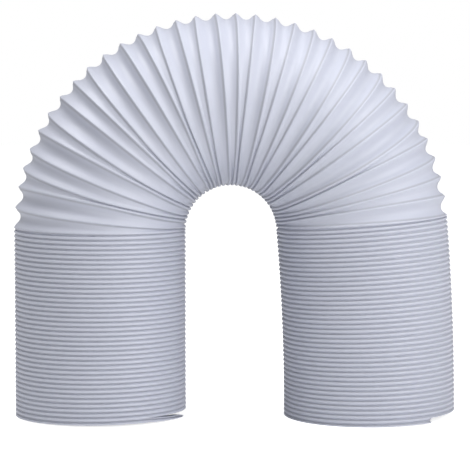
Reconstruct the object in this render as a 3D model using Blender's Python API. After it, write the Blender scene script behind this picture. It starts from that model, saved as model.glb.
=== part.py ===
"""Air conditioner exhaust hose: a wound plastic strip hose, bent over into an arch that stands on its ends.

The hose is one wall, a folded strip wound left-handed and locked to itself turn by turn. In the two legs
the turns are pushed shut and stack at the closed pitch. Over the arch they fan open: wide on the outside
of the bend, and still shut on the inside. A turn's fold gets shallower as the turn opens, because the
strip keeps its width.

Metres, +Z up, +X towards the right leg. The origin is on the floor, midway between the two ends.
"""

import math

import bmesh
import bpy
import numpy as np
from mathutils import Vector

# The hose and its strip
HOSE_DIAMETER = 0.150  # over the crests of the turns
CLOSED_PITCH = 0.00405  # from crest to crest where the turns are pushed shut
FLANK_WIDTH = 0.0103  # from a crest to the fold beside it, half the strip's width
STRIP_THICKNESS = 0.0005
CLOSED_RIB_DEPTH = 0.0016  # how far the crests of the shut turns stand out
OPEN_FOLD_PITCH = 0.0085  # a turn at least this long shows the whole depth of its fold

# The bend that it stands in
ARCH_INNER_RADIUS = 0.0395  # from the arch's centre to the crests inside the bend
ARCH_SWEEP = math.radians(175)  # the right leg bends through what is left of the half circle
ARCH_TURNS = 33
LEFT_LEG_TURNS = 40
FIRST_CREST = 0.2  # turns from the left end's floor line to the first crest on the outside of the bend

# How finely the wall is drawn
COLUMNS = 24  # around the hose
ROWS_PER_TURN = 2  # a crest and a fold
TRIMMED_TURNS = 2  # wound on past each end, and cut off at the floor
BORE_RINGS_IN_ARCH = 24
BORE_RINGS_IN_RIGHT_LEG = 3
WELD = 1e-6
CREASE_ANGLE = math.radians(25)  # the wall is shaded smooth across anything gentler

WALL_COLOUR = (0.72, 0.73, 0.80, 1.0)
WALL_ROUGHNESS = 0.42

HOSE_RADIUS = HOSE_DIAMETER / 2
ARCH_RADIUS = ARCH_INNER_RADIUS + HOSE_RADIUS  # to the hose's own axis
LEFT_LEG_LENGTH = LEFT_LEG_TURNS * CLOSED_PITCH


def fold_depth(pitch):
    """How deep the strip folds between two crests that are one pitch apart."""
    spare = FLANK_WIDTH**2 - (pitch / 2) ** 2
    return math.sqrt(max(spare, CLOSED_RIB_DEPTH**2))


BORE_RADIUS = HOSE_RADIUS - fold_depth(CLOSED_PITCH) - STRIP_THICKNESS


def bend_step(length, start_tilt, end_tilt):
    """The (x, z) step along an evenly curved stretch of the axis. Tilt is from straight up towards +X."""
    chord = length * np.sinc((end_tilt - start_tilt) / 2 / math.pi)
    tilt = (start_tilt + end_tilt) / 2
    return np.array((chord * math.sin(tilt), chord * math.cos(tilt)))


def right_leg_length(height):
    """The length of the right leg that comes down from this height and meets the floor upright."""
    return -height / bend_step(1.0, ARCH_SWEEP, math.pi)[1]


def axis_stretches():
    """The left leg, the arch and the right leg, each as (turns, length, start tilt, end tilt, start point)."""
    arch_start = bend_step(LEFT_LEG_LENGTH, 0, 0)
    arch_length = ARCH_RADIUS * ARCH_SWEEP
    arch_end = arch_start + bend_step(arch_length, 0, ARCH_SWEEP)
    right_length = right_leg_length(arch_end[1])
    right_end = arch_end + bend_step(right_length, ARCH_SWEEP, math.pi)
    to_middle = np.array((-right_end[0] / 2, 0))
    return (
        (LEFT_LEG_TURNS, LEFT_LEG_LENGTH, 0, 0, to_middle),
        (ARCH_TURNS, arch_length, 0, ARCH_SWEEP, arch_start + to_middle),
        (right_length / CLOSED_PITCH, right_length, ARCH_SWEEP, math.pi, arch_end + to_middle),
    )


STRETCHES = axis_stretches()
ALL_TURNS = sum(stretch[0] for stretch in STRETCHES)


def axis_at(turn):
    """The axis point (x, z) and the tilt of the hose at a turn counted from the left end."""
    for turns, length, start_tilt, end_tilt, start in STRETCHES:
        if turn <= turns or start is STRETCHES[-1][-1]:
            break
        turn -= turns
    share = turn / turns
    tilt = start_tilt + share * (end_tilt - start_tilt)
    return start + bend_step(share * length, start_tilt, tilt), tilt


def hose_point(turn, angle, radius):
    """A point of the wall. Angle 0 is the outside of the bend, and a quarter turn on is the back, +Y."""
    (x, z), tilt = axis_at(turn)
    outward = radius * math.cos(angle)
    return Vector((x - outward * math.cos(tilt), radius * math.sin(angle), z + outward * math.sin(tilt)))


def local_pitch(turn, angle):
    """The distance between the crests half a turn either side."""
    before = hose_point(turn - 0.5, angle, HOSE_RADIUS)
    after = hose_point(turn + 0.5, angle, HOSE_RADIUS)
    return (after - before).length


def groove_depth(pitch):
    """How deep the groove between two crests shows: a rib's depth where the turns are shut, then the fold."""
    opened = (pitch - CLOSED_PITCH) / (OPEN_FOLD_PITCH - CLOSED_PITCH)
    opened = min(max(opened, 0.0), 1.0)
    return CLOSED_RIB_DEPTH + opened * (fold_depth(pitch) - CLOSED_RIB_DEPTH)


def wound_wall_point(row, column):
    """A point of the outer wall: rows run along the winding, which climbs one turn as it goes round."""
    turn = row / ROWS_PER_TURN + column / COLUMNS + FIRST_CREST - TRIMMED_TURNS
    angle = 2 * math.pi * column / COLUMNS
    in_groove = row % ROWS_PER_TURN != 0
    depth = groove_depth(local_pitch(turn, angle)) if in_groove else 0.0
    return hose_point(turn, angle, HOSE_RADIUS - depth)


def bore_ring_turns():
    """Where the plain rings of the bore stand, as turns from the left end."""
    arch = np.linspace(LEFT_LEG_TURNS, LEFT_LEG_TURNS + ARCH_TURNS, BORE_RINGS_IN_ARCH)
    right_leg = np.linspace(LEFT_LEG_TURNS + ARCH_TURNS, ALL_TURNS, BORE_RINGS_IN_RIGHT_LEG + 1)
    return [0.0, *arch, *right_leg[1:]]


def skin_tube(bm, rows, place):
    """Rolls a flat grid up into an open tube and welds its seam. place(row, column) gives each point."""
    grid = bmesh.ops.create_grid(bm, x_segments=rows, y_segments=COLUMNS, size=0.5)["verts"]
    for vert in grid:
        row = round((vert.co.x + 0.5) * rows)
        column = round((vert.co.y + 0.5) * COLUMNS)
        vert.co = place(row, column)
    bmesh.ops.remove_doubles(bm, verts=grid, dist=WELD)


def wind_outer_wall(bm):
    wound_turns = math.ceil(ALL_TURNS) + 2 * TRIMMED_TURNS
    skin_tube(bm, wound_turns * ROWS_PER_TURN, wound_wall_point)
    everything = bm.verts[:] + bm.edges[:] + bm.faces[:]
    bmesh.ops.bisect_plane(
        bm, geom=everything, dist=WELD, plane_co=(0, 0, 0), plane_no=(0, 0, 1), clear_inner=True
    )


def line_bore(bm):
    ring_turns = bore_ring_turns()

    def place(row, column):
        return hose_point(ring_turns[row], 2 * math.pi * column / COLUMNS, BORE_RADIUS)

    skin_tube(bm, len(ring_turns) - 1, place)


def close_ends(bm):
    """Joins the outer wall to the bore with a flat ring on each foot."""
    rims = [edge for edge in bm.edges if edge.is_boundary]
    for side in (-1, 1):
        foot = [edge for edge in rims if edge.verts[0].co.x * side > 0]
        bmesh.ops.triangle_fill(bm, edges=foot, use_beauty=True, normal=(0, 0, -1))


def wall_material():
    material = bpy.data.materials.new("hose_wall")
    material.use_nodes = True
    shader = material.node_tree.nodes["Principled BSDF"]
    shader.inputs["Base Color"].default_value = WALL_COLOUR
    shader.inputs["Roughness"].default_value = WALL_ROUGHNESS
    shader.inputs["Metallic"].default_value = 0.0
    material.diffuse_color = WALL_COLOUR
    return material


def make_hose(collection):
    bm = bmesh.new()
    wind_outer_wall(bm)
    line_bore(bm)
    close_ends(bm)
    bmesh.ops.recalc_face_normals(bm, faces=bm.faces[:])
    mesh = bpy.data.meshes.new("hose")
    bm.to_mesh(mesh)
    bm.free()
    mesh.shade_smooth()
    mesh.set_sharp_from_angle(angle=CREASE_ANGLE)
    mesh.materials.append(wall_material())
    hose = bpy.data.objects.new("hose", mesh)
    collection.objects.link(hose)


def main():
    for old in list(bpy.data.objects):
        bpy.data.objects.remove(old)
    collection = bpy.data.collections.new("air_conditioner_exhaust_hose")
    bpy.context.scene.collection.children.link(collection)
    make_hose(collection)


main()
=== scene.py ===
# %% [markdown]
# # Dressing an air conditioner's exhaust hose
#
# The real hose is one long strip of white polypropylene. A machine folds it lengthwise, winds it round a
# drum, and snaps its two edges together. The locked edges make a raised lip, and the fold between two lips
# can open and shut. Here the hose is bent over and stands on its two ends. Both legs are pushed shut, and
# the turns over the bend have popped open like a fan.
#
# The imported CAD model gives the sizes: a plain bore in a grooved wall. This lesson winds the strip itself,
# with its lips, its folds and its cut ends, and then gives it the plastic, the light and the camera.

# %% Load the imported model
import math

import bmesh
import bpy
import numpy as np
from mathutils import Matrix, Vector


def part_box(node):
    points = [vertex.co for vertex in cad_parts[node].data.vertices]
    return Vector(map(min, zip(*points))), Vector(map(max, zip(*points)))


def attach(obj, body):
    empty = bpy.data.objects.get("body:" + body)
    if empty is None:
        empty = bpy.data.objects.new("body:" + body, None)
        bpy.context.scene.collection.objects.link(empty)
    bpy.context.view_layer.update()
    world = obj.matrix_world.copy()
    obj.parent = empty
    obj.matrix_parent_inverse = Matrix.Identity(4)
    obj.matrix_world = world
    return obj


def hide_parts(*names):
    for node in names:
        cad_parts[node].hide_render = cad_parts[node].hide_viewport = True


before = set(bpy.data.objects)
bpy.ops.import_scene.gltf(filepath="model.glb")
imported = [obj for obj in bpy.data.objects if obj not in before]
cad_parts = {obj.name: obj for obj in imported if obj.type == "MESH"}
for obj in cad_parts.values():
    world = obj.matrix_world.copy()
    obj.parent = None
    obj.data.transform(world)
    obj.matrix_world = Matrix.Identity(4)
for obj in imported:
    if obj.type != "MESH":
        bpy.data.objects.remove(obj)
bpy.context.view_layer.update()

# %% [markdown]
# ## The course of the hose
#
# A hose that is bent over keeps a course that a few numbers describe: a straight left leg, an arch, and a
# right leg that starts out leaning and comes upright where it meets the floor. Drawing a curve object by
# hand would do, but every lip and fold has to be placed on this course many thousands of times. A formula
# for it in numpy places them all at once.
#
# The tilt is the direction of the hose's axis, from straight up (0) over the arch to straight down (pi).

# %% Sizes of the bend, from the imported model
CLOSED_PITCH = 0.00405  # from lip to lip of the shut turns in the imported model
LEFT_LEG_TURNS = 40
ARCH_SWEEP = math.radians(175)

low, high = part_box("hose")
HOSE_RADIUS = (high[1] - low[1]) / 2
LEG_HEIGHT = LEFT_LEG_TURNS * CLOSED_PITCH
ARCH_RADIUS = high[2] - LEG_HEIGHT - HOSE_RADIUS
LEFT_AXIS_X = low[0] + HOSE_RADIUS
ARCH_LENGTH = ARCH_RADIUS * ARCH_SWEEP
print(f"hose radius {HOSE_RADIUS * 1000:.1f} mm, bend radius {ARCH_RADIUS * 1000:.1f} mm")

# %% Where the axis is, and which way it points
ARCH_END_Z = LEG_HEIGHT + ARCH_RADIUS * math.sin(ARCH_SWEEP)
RIGHT_LEG_BEND = math.sin(ARCH_SWEEP) / ARCH_END_Z  # radians of tilt per metre, so that it lands upright
AXIS_LENGTH = LEG_HEIGHT + ARCH_LENGTH + (math.pi - ARCH_SWEEP) / RIGHT_LEG_BEND


def axis_at(length):
    """x, z and tilt of the axis, this far along it from the left end."""
    along_arch = np.clip(length - LEG_HEIGHT, 0, ARCH_LENGTH)
    arch_tilt = along_arch / ARCH_RADIUS
    along_right = np.maximum(length - LEG_HEIGHT - ARCH_LENGTH, 0)
    tilt = arch_tilt + along_right * RIGHT_LEG_BEND
    x = LEFT_AXIS_X + ARCH_RADIUS * (1 - np.cos(arch_tilt))
    x = x + (np.cos(arch_tilt) - np.cos(tilt)) / RIGHT_LEG_BEND
    z = np.minimum(length, LEG_HEIGHT) + ARCH_RADIUS * np.sin(arch_tilt)
    z = z + (np.sin(tilt) - np.sin(arch_tilt)) / RIGHT_LEG_BEND
    return x, z, tilt


def hose_points(length, angle, radius):
    """Points of the hose. Angle 0 is the outside of the bend, and a quarter turn on is the back."""
    x, z, tilt = axis_at(length)
    outward = radius * np.cos(angle)
    return np.stack((x - outward * np.cos(tilt), radius * np.sin(angle), z + outward * np.sin(tilt)), -1)


print("right end of the axis:", [round(float(v), 4) for v in axis_at(np.array(AXIS_LENGTH))])

# %% [markdown]
# ## How the turns share the course
#
# The lip is one continuous line, wound left-handed. Counted in turns from the outside of the bend, turn 40
# is the first that has popped open, and turn 73 the last. The strip was simply cut at both ends, so the
# winding starts and stops where the photograph shows the step of the cut. A helix that is cut off like
# this can't stand flat: the left end touches the floor at the outside of the bend and the right end at the
# inside, and from there each climbs away from the floor until it meets its own cut again.
#
# The opening isn't even. A fold is happiest either shut or fully open, so at the front of the bend some
# turns stay wide almost to the throat while their neighbours snap shut early. This shows as lips that lean
# to one side. The lean of each lip is read off the photograph, in turns, and the back, which nobody sees,
# gets the same leans in another order.

# %% Turns along the axis
FIRST_OPEN_TURN = 40
LAST_OPEN_TURN = 73
FIRST_OPEN_TILT = math.radians(1.06)  # the first open lip sits this far into the bend
LEFT_CUT_ANGLE = math.radians(192)  # around the hose, from the outside of the bend
RIGHT_CUT_ANGLE = math.radians(312)
STACK_PITCH = 0.00415  # of the shut turns here, counted from where they touch the floor
STEPS = 60  # of the winding, around one turn

open_start = LEG_HEIGHT + ARCH_RADIUS * FIRST_OPEN_TILT
open_end = open_start + ARCH_LENGTH
open_pitch = ARCH_LENGTH / (LAST_OPEN_TURN - FIRST_OPEN_TURN)
right_turns = round((AXIS_LENGTH - open_end) / STACK_PITCH)
LEFT_CUT = LEFT_CUT_ANGLE / math.tau - 1
RIGHT_CUT = LAST_OPEN_TURN + right_turns + RIGHT_CUT_ANGLE / math.tau
RIGHT_TOUCH = LAST_OPEN_TURN + right_turns + 0.5  # half a turn on, at the inside of the bend
KNOTS = (
    (LEFT_CUT, LEFT_CUT * STACK_PITCH),
    (FIRST_OPEN_TURN - 1, (FIRST_OPEN_TURN - 1) * STACK_PITCH),
    (FIRST_OPEN_TURN, open_start),
    (LAST_OPEN_TURN, open_end),
    (LAST_OPEN_TURN + 1, AXIS_LENGTH - (RIGHT_TOUCH - LAST_OPEN_TURN - 1) * STACK_PITCH),
    (RIGHT_CUT, AXIS_LENGTH + (RIGHT_CUT - RIGHT_TOUCH) * STACK_PITCH),
)  # turns, and how far along the axis the lip has got by then
print(f"{RIGHT_CUT - LEFT_CUT:.1f} turns, shut {STACK_PITCH * 1000:.2f} mm, open {open_pitch * 1000:.2f} mm")

# %% The ends on the floor
LEFT_END_TILT = math.radians(1.37)  # the lowest rings stand up on the side that faces the other leg
RIGHT_END_TILT = math.radians(1.2)  # and these on the side that faces away from it
LEFT_TILT_FROM = math.radians(30)  # where the tilted rings are lowest
RIGHT_TILT_FROM = math.radians(190)
LIFT = 0.00026  # brings the lowest points up to the floor


def lip_length(turn, angle):
    """How far along the axis the lip is, without its lean."""
    turns, lengths = zip(*KNOTS)
    length = np.interp(turn, turns, lengths)
    left_share = np.clip(1 - length / LEG_HEIGHT, 0, 1)
    left_rise = LEFT_END_TILT * HOSE_RADIUS * (1 - np.cos(angle - LEFT_TILT_FROM)) + LIFT
    right_share = np.clip(1 - (AXIS_LENGTH - length) / LEG_HEIGHT, 0, 1)
    right_rise = RIGHT_END_TILT * HOSE_RADIUS * (1 - np.cos(angle - RIGHT_TILT_FROM)) + LIFT
    return length + left_share * left_rise - right_share * right_rise


# %% The loose tail of the strip at the left end
TAIL_STEPS = 7  # of the winding, which aren't locked to the turn above
TAIL_TURNS = TAIL_STEPS / STEPS
TAIL_DROP = 0.0014  # at its tip, below the course of the winding
TAIL_GAP = 0.0042  # at its tip, between it and the turn above


def tail_share(turn):
    """How loose the strip is: 1 at its very tip, and 0 from where it is locked to the turn above."""
    return np.clip(1 - (turn - LEFT_CUT) / TAIL_TURNS, 0, 1)


# %% The lean of the open lips
FRONT_LEAN = np.array((
    -0.1, -0.05, 0.4, -0.25, -0.15, 0.3, -0.15, 0.35, 0.35, -0.1, 0.1, 0.5, 0.55, 0.0, 0.25, 0.0, 0.4,
    0.4, 0.05, 0.4, 0.1, 0.3, 0.1, 0.45, 0.15, 0.5, 0.05, 0.0, 0.6, -0.1, 0.2, -0.05, -0.4, -0.25,
))
LIPS = len(FRONT_LEAN)
SHUT_BACK = 0.25  # keeps the first and the last lip on the stacks at the back
BACK_SHIFT = 11  # lips, so that the back doesn't mirror the front
BACK_LEAN = np.concatenate(([SHUT_BACK], np.roll(FRONT_LEAN[-2:0:-1], BACK_SHIFT), [SHUT_BACK]))
LEAST_GAP = 0.0032  # between two lips
PUSHES = 60  # rounds of pushing apart, until the gaps have settled
LEAN_FADES = math.radians(150)  # from here to the inside of the bend the leans die out
END_LIPS = 3  # at each end of the bend, where the straight lips go over into the wound stack


def leaning_lips():
    """How far each open lip leans forward, in turns, at each step around the hose.

    A lean grows from the outside of the bend inwards. At the front the lips run straight to the inside, as
    in the photograph, so the whole climb of the winding is left to the back, just before the inside. Where
    two lips would come closer than the least gap, they push each other apart.
    """
    angle = np.arange(STEPS) / STEPS * math.tau
    around = np.minimum(angle, math.tau - angle)
    growth = around / (math.pi / 2)
    untwist = around / math.tau  # what the winding climbs on the way there, in turns
    fade = np.cos(np.clip((around - LEAN_FADES) / (math.pi - LEAN_FADES), 0, 1) * math.pi / 2)
    lip = np.arange(LIPS + 1)[:, None]
    # where the leans fade out, this keeps the front straight, except for the last lips at the bend's ends
    straight = np.clip(np.minimum(lip, LIPS - lip) / END_LIPS, 0, 1) * (1 - fade)
    front = FRONT_LEAN[:, None] * growth * fade + untwist * (straight[:-1] + fade)
    back = BACK_LEAN[:, None] * growth * fade + untwist * (straight[1:] - fade)
    places = np.arange(LIPS)[:, None] + np.where(angle > math.pi, front, back)
    pitch = (ARCH_RADIUS + HOSE_RADIUS * np.cos(angle)) * open_pitch / ARCH_RADIUS
    least = LEAST_GAP / pitch
    for _ in range(PUSHES):
        short = np.maximum(least - np.diff(places, axis=0), 0)
        places[:-1] -= short / 2
        places[1:] += short / 2
    return places - np.arange(LIPS)[:, None]


LEANING = leaning_lips()


# %% The lip, lean and all
ROUNDING = 1e-9  # keeps a rounding error from picking the turn before or after
FRONT = 0.75  # of a turn on from the outside of the bend


def lip_at(turn, angle):
    """How far along the axis the lip is at a turn, lean and all."""
    at_front = np.sin(angle) < -ROUNDING
    nearest = np.where(at_front, np.ceil(turn - ROUNDING), np.floor(turn + ROUNDING)).astype(int)
    lip = nearest - FIRST_OPEN_TURN
    listed = (lip >= 0) & (lip < LIPS)
    step = np.round(angle / math.tau * STEPS).astype(int) % STEPS
    lean = np.where(listed, LEANING[np.clip(lip, 0, LIPS - 1), step], 0)
    return lip_length(turn, angle) + lean * open_pitch


front_turns = np.arange(FIRST_OPEN_TURN, LAST_OPEN_TURN) + FRONT
front_gaps = np.diff(lip_at(front_turns, np.full(len(front_turns), FRONT * math.tau)))
print(f"front gaps from {front_gaps.min() * 1000:.1f} to {front_gaps.max() * 1000:.1f} mm")

# %% [markdown]
# ## The shape across the strip
#
# From lip to lip the strip goes down one side of the fold and up the other. The lip is where two edges are
# locked, and the upper edge laps over the lower one with a small step. Where the turns are shut, the lips
# are rounded beads a good 2 mm wide, with only a dark slit between them. Where they are open, the plastic
# runs from one lip gently down into a smooth hollow, and comes up more steeply under the next lip's step.
# At the front and back of the bend it is half open and tucks the rest of its width away behind the lips,
# so the hollow is a good deal shallower there than on the outside.
#
# A screw modifier could wind a fixed outline, but it can't let the outline change as it goes. So the outline
# is a function of the distance between the lips, worked out afresh at each step.

# %% The two sides of a lip, shut and open: distance from the lip and depth under it
STRIP_WIDTH = 0.0206
SHUT_BEAD = np.array(((0.0, 0.0), (0.65, 0.1), (1.15, 0.4), (1.45, 0.9))) / 1000
OPEN_BEAD = np.array(((0.0, 0.0), (0.5, 0.15), (1.3, 0.7), (2.3, 1.35))) / 1000
SHUT_STEP = np.array(((1.75, 1.6), (1.4, 1.4), (1.05, 0.45), (0.5, 0.05), (0.0, 0.0))) / 1000
OPEN_STEP = np.array(((2.4, 1.8), (1.6, 1.4), (1.0, 0.9), (0.45, 0.3), (0.0, 0.0))) / 1000
OPEN_FOLD_PITCH = 0.0085  # from here on a turn counts as open

# %% The hollow between them
SLIT_DEPTH = 0.0020  # between the beads of shut turns
HOLLOW_DEPTH = 0.0054  # of a turn on the outside of the bend
HOLLOW_PITCH = 0.0176  # how long that turn is
HOLLOW_GROWTH = 1.8  # the power of the pitch with which the hollow deepens
FLATNESS = 2.2  # 2 is a round hollow, and more makes its floor flatter
DEEPEST = 0.55  # of the way to the next lip
WALL = 0.0005
LOCK_DEPTH = OPEN_STEP[1, 1]  # below an open lip, down to where its two locked edges end
MOUTH_DEPTH = 0.0094  # below the lips, where the mouths of the shut folds are, seen from inside


def smooth(x):
    x = np.clip(x, 0, 1)
    return x * x * (3 - 2 * x)


def openness(pitch):
    return smooth((pitch - CLOSED_PITCH) / (OPEN_FOLD_PITCH - CLOSED_PITCH))


def hollow_depth(pitch):
    hollow = HOLLOW_DEPTH * (pitch / HOLLOW_PITCH) ** HOLLOW_GROWTH
    return SLIT_DEPTH + openness(pitch) * (hollow - SLIT_DEPTH)


def hollow_share(share):
    """How much of the hollow's depth is reached at a share of the way across."""
    skew = math.log(0.5) / math.log(DEEPEST)
    return 1 - np.abs(2 * share**skew - 1) ** FLATNESS


# %% The outline of the outer skin
def outline(pitch, hollow_rows):
    """Offsets and depths from one lip to the next, one row after another, for arrays of pitches."""
    opened = openness(pitch)[:, None, None]
    squeeze = np.minimum(pitch / CLOSED_PITCH, 1)[:, None]
    bead = SHUT_BEAD + opened * (OPEN_BEAD - SHUT_BEAD)
    bead[..., 0] *= squeeze
    step = SHUT_STEP + opened * (OPEN_STEP - SHUT_STEP)
    step[..., 0] = pitch[:, None] - step[..., 0] * squeeze
    share = np.arange(1, hollow_rows)[:, None] / hollow_rows
    hollow = bead[:, -1:] + share * (step[:, :1] - bead[:, -1:])
    spare = np.maximum(hollow_depth(pitch)[:, None] - hollow[..., 1], 0)
    hollow[..., 1] += hollow_share(share[:, 0]) * spare
    rows = np.concatenate((bead, hollow, step), 1)
    return rows[..., 0], rows[..., 1], strip_places(hollow_rows)


def strip_places(hollow_rows):
    """Where each row lies across the strip before it is folded, from 0 at one edge to 1 at the other."""
    bead_steps = np.linalg.norm(np.diff(SHUT_BEAD, axis=0), axis=1) / STRIP_WIDTH
    lap_steps = np.linalg.norm(np.diff(SHUT_STEP, axis=0), axis=1) / STRIP_WIDTH
    bead = np.concatenate(([0], np.cumsum(bead_steps)))
    lap = 1 - np.concatenate((np.cumsum(lap_steps[::-1])[::-1], [0]))
    return np.concatenate((bead, np.linspace(bead[-1], lap[0], hollow_rows + 1)[1:-1], lap))


# %% The outline of the inner skin
def inner_outline(pitch, rows):
    """A wall's thickness under the hollow, or the mouths of the shut folds."""
    opened = openness(pitch)[:, None]
    ridge = hollow_share(np.arange(rows + 1) / rows)
    shut_ridge = (STRIP_WIDTH - SLIT_DEPTH) / 2
    under_lip = MOUTH_DEPTH + opened * (LOCK_DEPTH + WALL - MOUTH_DEPTH)
    under_hollow = shut_ridge + opened * (hollow_depth(pitch)[:, None] - shut_ridge) + WALL
    offsets = pitch[:, None] * np.arange(rows + 1) / rows
    return offsets, under_lip + ridge * (under_hollow - under_lip), np.arange(rows + 1) / rows


for apart in (STACK_PITCH, open_pitch, HOLLOW_PITCH):
    print(f"lips {apart * 1000:.1f} mm apart: hollow {hollow_depth(apart) * 1000:.1f} mm deep")

# %% [markdown]
# ## Winding the strip
#
# A grid of points stands for a stretch of strip: along it run 60 steps a turn, and across it the rows of
# the outline. The last row of one turn falls on the first row of the next, just as the real edges lock, and
# welding them closes the wall. The legs need few rows and the open turns many. A second skin, the inner one,
# makes the wall a real wall, so the hose looks right from below too.

# %% Rows of points
LEG_HOLLOW_ROWS = 2
ARCH_HOLLOW_ROWS = 10
LEG_INNER_ROWS = 2
ARCH_INNER_ROWS = 4
ARCH_FROM = FIRST_OPEN_TURN - 1.25  # a little before the first open lip, in turns
ARCH_TO = LAST_OPEN_TURN + 0.25


def strip_at(turn):
    """The strip at each of these turns: its angle, its two edges, and how far apart they are."""
    angle = math.tau * turn
    lower = lip_at(turn, angle) - tail_share(turn) * TAIL_DROP
    upper = lip_at(turn + 1, angle) - tail_share(turn) * TAIL_GAP
    apart = hose_points(upper, angle, HOSE_RADIUS) - hose_points(lower, angle, HOSE_RADIUS)
    return angle, lower, upper, np.linalg.norm(apart, axis=-1)


def skin(turn, rows_of):
    """Points and strip coordinates of a skin, one column for each turn value. rows_of gives the outline."""
    angle, lower, upper, pitch = strip_at(turn)
    offsets, depths, places = rows_of(pitch)
    share = offsets / pitch[:, None]
    length = lower[:, None] + share * (upper - lower)[:, None]
    points = hose_points(length, angle[:, None], HOSE_RADIUS - depths)
    marks = np.stack(np.broadcast_arrays(turn[:, None], places), -1)
    return points, marks


# %% Grids into one mesh
STRIP_MAP = "strip"
WELD = 2e-6
OUTSIDE, INSIDE = 0, 1  # the two material slots


class Winding:
    """Collects grids of points with their strip coordinates, and turns them into one mesh."""

    def __init__(self):
        self.points, self.marks, self.quads, self.materials = [], [], [], []
        self.count = 0

    def add(self, points, marks, material, inward=False):
        columns, rows = points.shape[:2]
        index = self.count + np.arange(columns * rows).reshape(columns, rows)
        quads = np.stack((index[:-1, :-1], index[1:, :-1], index[1:, 1:], index[:-1, 1:]), -1)
        quads = quads.reshape(-1, 4)
        self.quads.append(quads[:, ::-1] if inward else quads)
        self.points.append(points.reshape(-1, 3))
        self.marks.append(marks.reshape(-1, 2))
        self.materials.append(np.full(len(quads), material))
        self.count += columns * rows

    def mesh(self, name):
        mesh = bpy.data.meshes.new(name)
        mesh.from_pydata(np.concatenate(self.points), [], np.concatenate(self.quads))
        mesh.polygons.foreach_set("material_index", np.concatenate(self.materials))
        corners = np.empty(len(mesh.loops), dtype=int)
        mesh.loops.foreach_get("vertex_index", corners)
        strip_map = mesh.uv_layers.new(name=STRIP_MAP)
        strip_map.data.foreach_set("uv", np.concatenate(self.marks)[corners].ravel())
        return mesh


# %% Columns of a stretch, and its free edges
def whole_steps(start, stop):
    return np.arange(round(start * STEPS), round(stop * STEPS) + 1) / STEPS


def rim(first, second, columns, row):
    """Closes the wall along a free edge, between one skin's row and the other's."""
    return [np.stack((a[columns, row], b[columns, row]), 1) for a, b in zip(first, second)]


# %% Wind the hose
winding = Winding()
stretches = (
    (LEFT_CUT, ARCH_FROM, LEG_HOLLOW_ROWS, LEG_INNER_ROWS),
    (ARCH_FROM, ARCH_TO, ARCH_HOLLOW_ROWS, ARCH_INNER_ROWS),
    (ARCH_TO, RIGHT_CUT - 1, LEG_HOLLOW_ROWS, LEG_INNER_ROWS),
)
for start, stop, hollow_rows, inner_rows in stretches:
    turns = whole_steps(start, stop)
    outer = skin(turns, lambda pitch: outline(pitch, hollow_rows))
    inner = skin(turns, lambda pitch: inner_outline(pitch, inner_rows))
    winding.add(*outer, OUTSIDE)
    winding.add(*inner, INSIDE, inward=True)
    if start == LEFT_CUT:
        winding.add(*rim(inner, outer, slice(0, STEPS + TAIL_STEPS + 1), 0), OUTSIDE)
        winding.add(*rim(outer, inner, slice(0, TAIL_STEPS + 1), -1), OUTSIDE)
    if stop == RIGHT_CUT - 1:
        winding.add(*rim(outer, inner, slice(-STEPS - 1, None), -1), OUTSIDE)

hose_mesh = winding.mesh("hose_winding")
bm = bmesh.new()
bm.from_mesh(hose_mesh)
bmesh.ops.remove_doubles(bm, verts=bm.verts[:], dist=WELD)
open_edges = [edge for edge in bm.edges if edge.is_boundary]
bmesh.ops.holes_fill(bm, edges=open_edges, sides=0)
bmesh.ops.recalc_face_normals(bm, faces=bm.faces[:])
left_open = sum(1 for edge in bm.edges if not edge.is_manifold)
volume = bm.calc_volume()
bm.to_mesh(hose_mesh)
bm.free()
hose_mesh.shade_smooth()
hose_mesh.calc_loop_triangles()
print(f"{len(hose_mesh.loop_triangles)} triangles, {left_open} open edges")
print(f"{volume * 1e6:.0f} cm3 between the skins")

hose = bpy.data.objects.new("wound_hose", hose_mesh)
bpy.context.scene.collection.objects.link(hose)
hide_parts("hose")
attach(hose, "root")

# %% [markdown]
# ## The plastic
#
# White polypropylene has a faint cool grey in it and a satin skin. Drawn out as a strip, it keeps fine lines
# that run lengthwise. It is hazier where it has been folded, and a band of painted shade sits under the lap
# of each lip, so the open lips look like soft grey lines. An image texture could hold all this, but the
# strip has its own coordinates here, turns along it and a share across it, and noise that is stretched along
# them stays sharp at any distance.
#
# Outside and lining share these effects, so each is a node group with its own values in the two materials.

# %% A node group with named sockets
def new_group(name, inputs, outputs):
    group = bpy.data.node_groups.new(name, "ShaderNodeTree")
    for title, kind, value in inputs:
        socket = group.interface.new_socket(title, in_out="INPUT", socket_type=kind)
        socket.default_value = value
    for title, kind in outputs:
        group.interface.new_socket(title, in_out="OUTPUT", socket_type=kind)
    return group, group.nodes.new("NodeGroupInput"), group.nodes.new("NodeGroupOutput")


def math_node(tree, operation, first, second=0.0):
    node = tree.nodes.new("ShaderNodeMath")
    node.operation = operation
    for socket, value in zip(node.inputs, (first, second)):
        if isinstance(value, (int, float)):
            socket.default_value = value
        else:
            tree.links.new(value, socket)
    return node.outputs[0]


def strip_coordinates(group):
    """Turns along the strip, and the share across it."""
    uv = group.nodes.new("ShaderNodeUVMap")
    uv.uv_map = STRIP_MAP
    parts = group.nodes.new("ShaderNodeSeparateXYZ")
    group.links.new(uv.outputs["UV"], parts.inputs[0])
    return parts.outputs["X"], parts.outputs["Y"]


# %% Lines drawn along the strip
STRIP_LENGTH_PER_TURN = math.tau * HOSE_RADIUS


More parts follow.
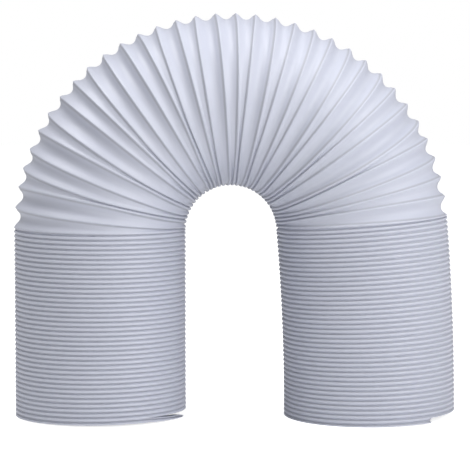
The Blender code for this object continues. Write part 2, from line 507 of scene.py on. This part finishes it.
def drawn_lines_group():
    inputs = (("Lines per mm", "NodeSocketFloat", 4.0), ("Length of a line", "NodeSocketFloat", 0.05))
    group, given, made = new_group("drawn lines", inputs, (("Lines", "NodeSocketFloat"),))
    turns, share = strip_coordinates(group)
    along = math_node(group, "MULTIPLY", turns, STRIP_LENGTH_PER_TURN)
    along = math_node(group, "DIVIDE", along, given.outputs["Length of a line"])
    across = math_node(group, "MULTIPLY", share, STRIP_WIDTH * 1000)
    across = math_node(group, "MULTIPLY", across, given.outputs["Lines per mm"])
    place = group.nodes.new("ShaderNodeCombineXYZ")
    group.links.new(along, place.inputs["X"])
    group.links.new(across, place.inputs["Y"])
    noise = group.nodes.new("ShaderNodeTexNoise")
    noise.inputs["Scale"].default_value = 1.0
    noise.inputs["Detail"].default_value = 2.0
    group.links.new(place.outputs[0], noise.inputs["Vector"])
    group.links.new(noise.outputs["Fac"], made.inputs["Lines"])
    return group


DRAWN_LINES = drawn_lines_group()


# %% A soft line along the strip, for the haze of the fold and the painted shade under the lap
def line_group():
    inputs = (("Place", "NodeSocketFloat", 0.5), ("Half width", "NodeSocketFloat", 0.1))
    group, given, made = new_group("line along the strip", inputs, (("Line", "NodeSocketFloat"),))
    _, share = strip_coordinates(group)
    off_place = math_node(group, "SUBTRACT", share, given.outputs["Place"])
    wrapped = math_node(group, "FRACT", math_node(group, "ADD", off_place, 0.5))
    distance = math_node(group, "ABSOLUTE", math_node(group, "SUBTRACT", wrapped, 0.5))
    faded = math_node(group, "DIVIDE", distance, given.outputs["Half width"])
    line = math_node(group, "SUBTRACT", 1.0, faded)
    group.links.new(math_node(group, "MAXIMUM", line, 0.0), made.inputs["Line"])
    return group


LINE = line_group()


# %% Handling marks: faint clouds of dust and rubbed patches
def handling_group():
    inputs = (("Patch size", "NodeSocketFloat", 0.03),)
    group, given, made = new_group("handling", inputs, (("Rubbed", "NodeSocketFloat"),))
    where = group.nodes.new("ShaderNodeTexCoord")
    noise = group.nodes.new("ShaderNodeTexNoise")
    noise.inputs["Detail"].default_value = 4.0
    noise.inputs["Roughness"].default_value = 0.6
    group.links.new(where.outputs["Object"], noise.inputs["Vector"])
    group.links.new(math_node(group, "DIVIDE", 1.0, given.outputs["Patch size"]), noise.inputs["Scale"])
    group.links.new(noise.outputs["Fac"], made.inputs["Rubbed"])
    return group


HANDLING = handling_group()


# %% Help with wiring a material
def add_group(tree, group, **values):
    node = tree.nodes.new("ShaderNodeGroup")
    node.node_tree = group
    for name, value in values.items():
        node.inputs[name.replace("_", " ")].default_value = value
    return node


def mix_colour(tree, factor, first, second):
    node = tree.nodes.new("ShaderNodeMix")
    node.data_type = "RGBA"
    tree.links.new(factor, node.inputs["Factor"])
    for name, value in (("A", first), ("B", second)):
        socket = next(s for s in node.inputs if s.name == name and s.type == "RGBA")
        if isinstance(value, tuple):
            socket.default_value = value
        else:
            tree.links.new(value, socket)
    return next(s for s in node.outputs if s.type == "RGBA")


def remap(tree, value, low_out, high_out, low_in=0.3, high_in=0.7):
    node = tree.nodes.new("ShaderNodeMapRange")
    tree.links.new(value, node.inputs["Value"])
    node.inputs["From Min"].default_value = low_in
    node.inputs["From Max"].default_value = high_in
    node.inputs["To Min"].default_value = low_out
    node.inputs["To Max"].default_value = high_out
    return node.outputs["Result"]


# %% The two materials
WHITE = (0.555, 0.575, 0.665, 1)
STREAK = (0.53, 0.55, 0.64, 1)
HAZE = (0.58, 0.60, 0.685, 1)
# painted shade: the colour of the darker band just under each lip's lap, where the lip shades the plastic
# below it
PAINTED_LAP_SHADE = (0.38, 0.39, 0.44, 1)
LINING = (0.48, 0.495, 0.57, 1)
LINING_STREAK = (0.45, 0.465, 0.54, 1)
STREAK_SHARE = 0.5  # of the streaks' colour, where a line is strongest
HAZE_SHARE = 0.5
SMOOTHEST, ROUGHEST = 0.36, 0.5
IOR = 1.49
BUMP_STRENGTH = 0.5
BUMP_HEIGHT = 0.0001


def polypropylene(name, colour, streak_colour):
    """The plastic: its plain colour, its drawn lines, the haze of its fold and the painted shade under its
    lap.
    """
    material = bpy.data.materials.new(name)
    material.use_nodes = True
    tree = material.node_tree
    shader = tree.nodes["Principled BSDF"]
    lines = add_group(tree, DRAWN_LINES, Lines_per_mm=2.5, Length_of_a_line=0.06)
    fold = add_group(tree, LINE, Place=0.5, Half_width=0.14)
    lap = add_group(tree, LINE, Place=0.92, Half_width=0.065)
    rubbed = add_group(tree, HANDLING, Patch_size=0.035)

    streak = remap(tree, lines.outputs["Lines"], 0.0, STREAK_SHARE)
    base = mix_colour(tree, streak, colour, streak_colour)
    haze = math_node(tree, "MULTIPLY", fold.outputs["Line"], HAZE_SHARE)
    base = mix_colour(tree, haze, base, HAZE)
    # painted shade: darkens a band just under each lip's lap
    base = mix_colour(tree, lap.outputs["Line"], base, PAINTED_LAP_SHADE)
    tree.links.new(base, shader.inputs["Base Color"])
    roughness = remap(tree, rubbed.outputs["Rubbed"], SMOOTHEST, ROUGHEST)
    tree.links.new(roughness, shader.inputs["Roughness"])
    shader.inputs["IOR"].default_value = IOR

    bump = tree.nodes.new("ShaderNodeBump")
    bump.inputs["Strength"].default_value = BUMP_STRENGTH
    bump.inputs["Distance"].default_value = BUMP_HEIGHT
    tree.links.new(lines.outputs["Lines"], bump.inputs["Height"])
    tree.links.new(bump.outputs["Normal"], shader.inputs["Normal"])
    return material


hose_mesh.materials.append(polypropylene("hose_wall_plastic", WHITE, STREAK))
hose_mesh.materials.append(polypropylene("hose_lining_plastic", LINING, LINING_STREAK))
print("materials:", [m.name for m in hose_mesh.materials])

# %% [markdown]
# ## Floor, light and camera
#
# The photograph is a plain studio one: white all round, one big soft light in front and to the right,
# another overhead, and a weak one in front of the opening, which brightens the right leg's inner side. The
# sides that face up are bright, the ones that face down are grey, and there is next to no shadow on the
# floor. Three round area lights do that, with a pale world to fill in. The floor glows a little, as a light
# table does, so its shadow stays faint.

# %% The floor
FLOOR_RADIUS = 6.0
FLOOR_CORNERS = 96
FLOOR_COLOUR = (0.88, 0.88, 0.88, 1)
FLOOR_ROUGHNESS = 0.9
FLOOR_GLOW = 0.8  # seen by the camera alone

floor_mesh = bpy.data.meshes.new("floor")
floor_bm = bmesh.new()
bmesh.ops.create_circle(floor_bm, cap_ends=True, segments=FLOOR_CORNERS, radius=FLOOR_RADIUS)
floor_bm.to_mesh(floor_mesh)
floor_bm.free()
floor = bpy.data.objects.new("floor", floor_mesh)
bpy.context.scene.collection.objects.link(floor)

floor_paint = bpy.data.materials.new("floor_paint")
floor_paint.use_nodes = True
paint = floor_paint.node_tree
floor_shader = paint.nodes["Principled BSDF"]
floor_shader.inputs["Base Color"].default_value = FLOOR_COLOUR
floor_shader.inputs["Roughness"].default_value = FLOOR_ROUGHNESS
floor_shader.inputs["Specular IOR Level"].default_value = 0.0
glow = paint.nodes.new("ShaderNodeEmission")
seen_floor = paint.nodes.new("ShaderNodeAddShader")
floor_path = paint.nodes.new("ShaderNodeLightPath")
glow_strength = math_node(paint, "MULTIPLY", floor_path.outputs["Is Camera Ray"], FLOOR_GLOW)
paint.links.new(glow_strength, glow.inputs["Strength"])
paint.links.new(floor_shader.outputs[0], seen_floor.inputs[0])
paint.links.new(glow.outputs[0], seen_floor.inputs[1])
paint.links.new(seen_floor.outputs[0], paint.nodes["Material Output"].inputs[0])
floor_mesh.materials.append(floor_paint)
print(f"floor {2 * FLOOR_RADIUS:.0f} m across")

# %% Camera
CAMERA_DISTANCE = 1.9
EYE_HEIGHT = 0.311
AIM_HEIGHT = 0.158
VIEW_WIDTH = 0.4102  # of the plane through the hose's axis
SENSOR_WIDTH = 36  # millimetres, as Blender counts it


def aim(thing):
    """Turns a camera or a lamp towards the middle of the hose."""
    towards = Vector((0, 0, AIM_HEIGHT)) - thing.location
    thing.rotation_euler = towards.to_track_quat("-Z", "Y").to_euler()


camera_data = bpy.data.cameras.new("camera")
camera_data.sensor_width = SENSOR_WIDTH
camera_data.lens = SENSOR_WIDTH * CAMERA_DISTANCE / VIEW_WIDTH
camera = bpy.data.objects.new("camera", camera_data)
camera.location = (0, -CAMERA_DISTANCE, EYE_HEIGHT)
aim(camera)
bpy.context.scene.collection.objects.link(camera)
bpy.context.scene.camera = camera
print(f"lens {camera_data.lens:.0f} mm")

# %% Light
LAMPS = (
    ("key_light", (0.72, -0.58, 0.8), 1.1, 8.6),
    ("top_light", (-0.4, -0.05, 1.6), 1.2, 14.5),
    ("front_light", (0.02, -0.6, 0.2), 0.4, 0.15),
)  # name, place, size across and power

for lamp_name, lamp_place, lamp_size, lamp_power in LAMPS:
    light = bpy.data.lights.new(lamp_name, "AREA")
    light.shape = "DISK"
    light.size = lamp_size
    light.energy = lamp_power
    lamp = bpy.data.objects.new(lamp_name, light)
    lamp.location = lamp_place
    aim(lamp)
    bpy.context.scene.collection.objects.link(lamp)
print(f"{len(LAMPS)} lamps")

# %% The world: a dim fill for the hose, and plain white for the camera
PURE_WHITE = (1, 1, 1, 1)
FILL = 0.38

world = bpy.data.worlds.new("studio")
world.use_nodes = True
studio = world.node_tree
background = studio.nodes["Background"]
background.inputs["Color"].default_value = PURE_WHITE
background.inputs["Strength"].default_value = FILL
seen = studio.nodes.new("ShaderNodeBackground")
seen.inputs["Color"].default_value = PURE_WHITE
seen.inputs["Strength"].default_value = 1.0
path = studio.nodes.new("ShaderNodeLightPath")
either = studio.nodes.new("ShaderNodeMixShader")
studio.links.new(path.outputs["Is Camera Ray"], either.inputs[0])
studio.links.new(background.outputs[0], either.inputs[1])
studio.links.new(seen.outputs[0], either.inputs[2])
studio.links.new(either.outputs[0], studio.nodes["World Output"].inputs[0])
bpy.context.scene.world = world
bpy.context.scene.view_settings.view_transform = "Standard"
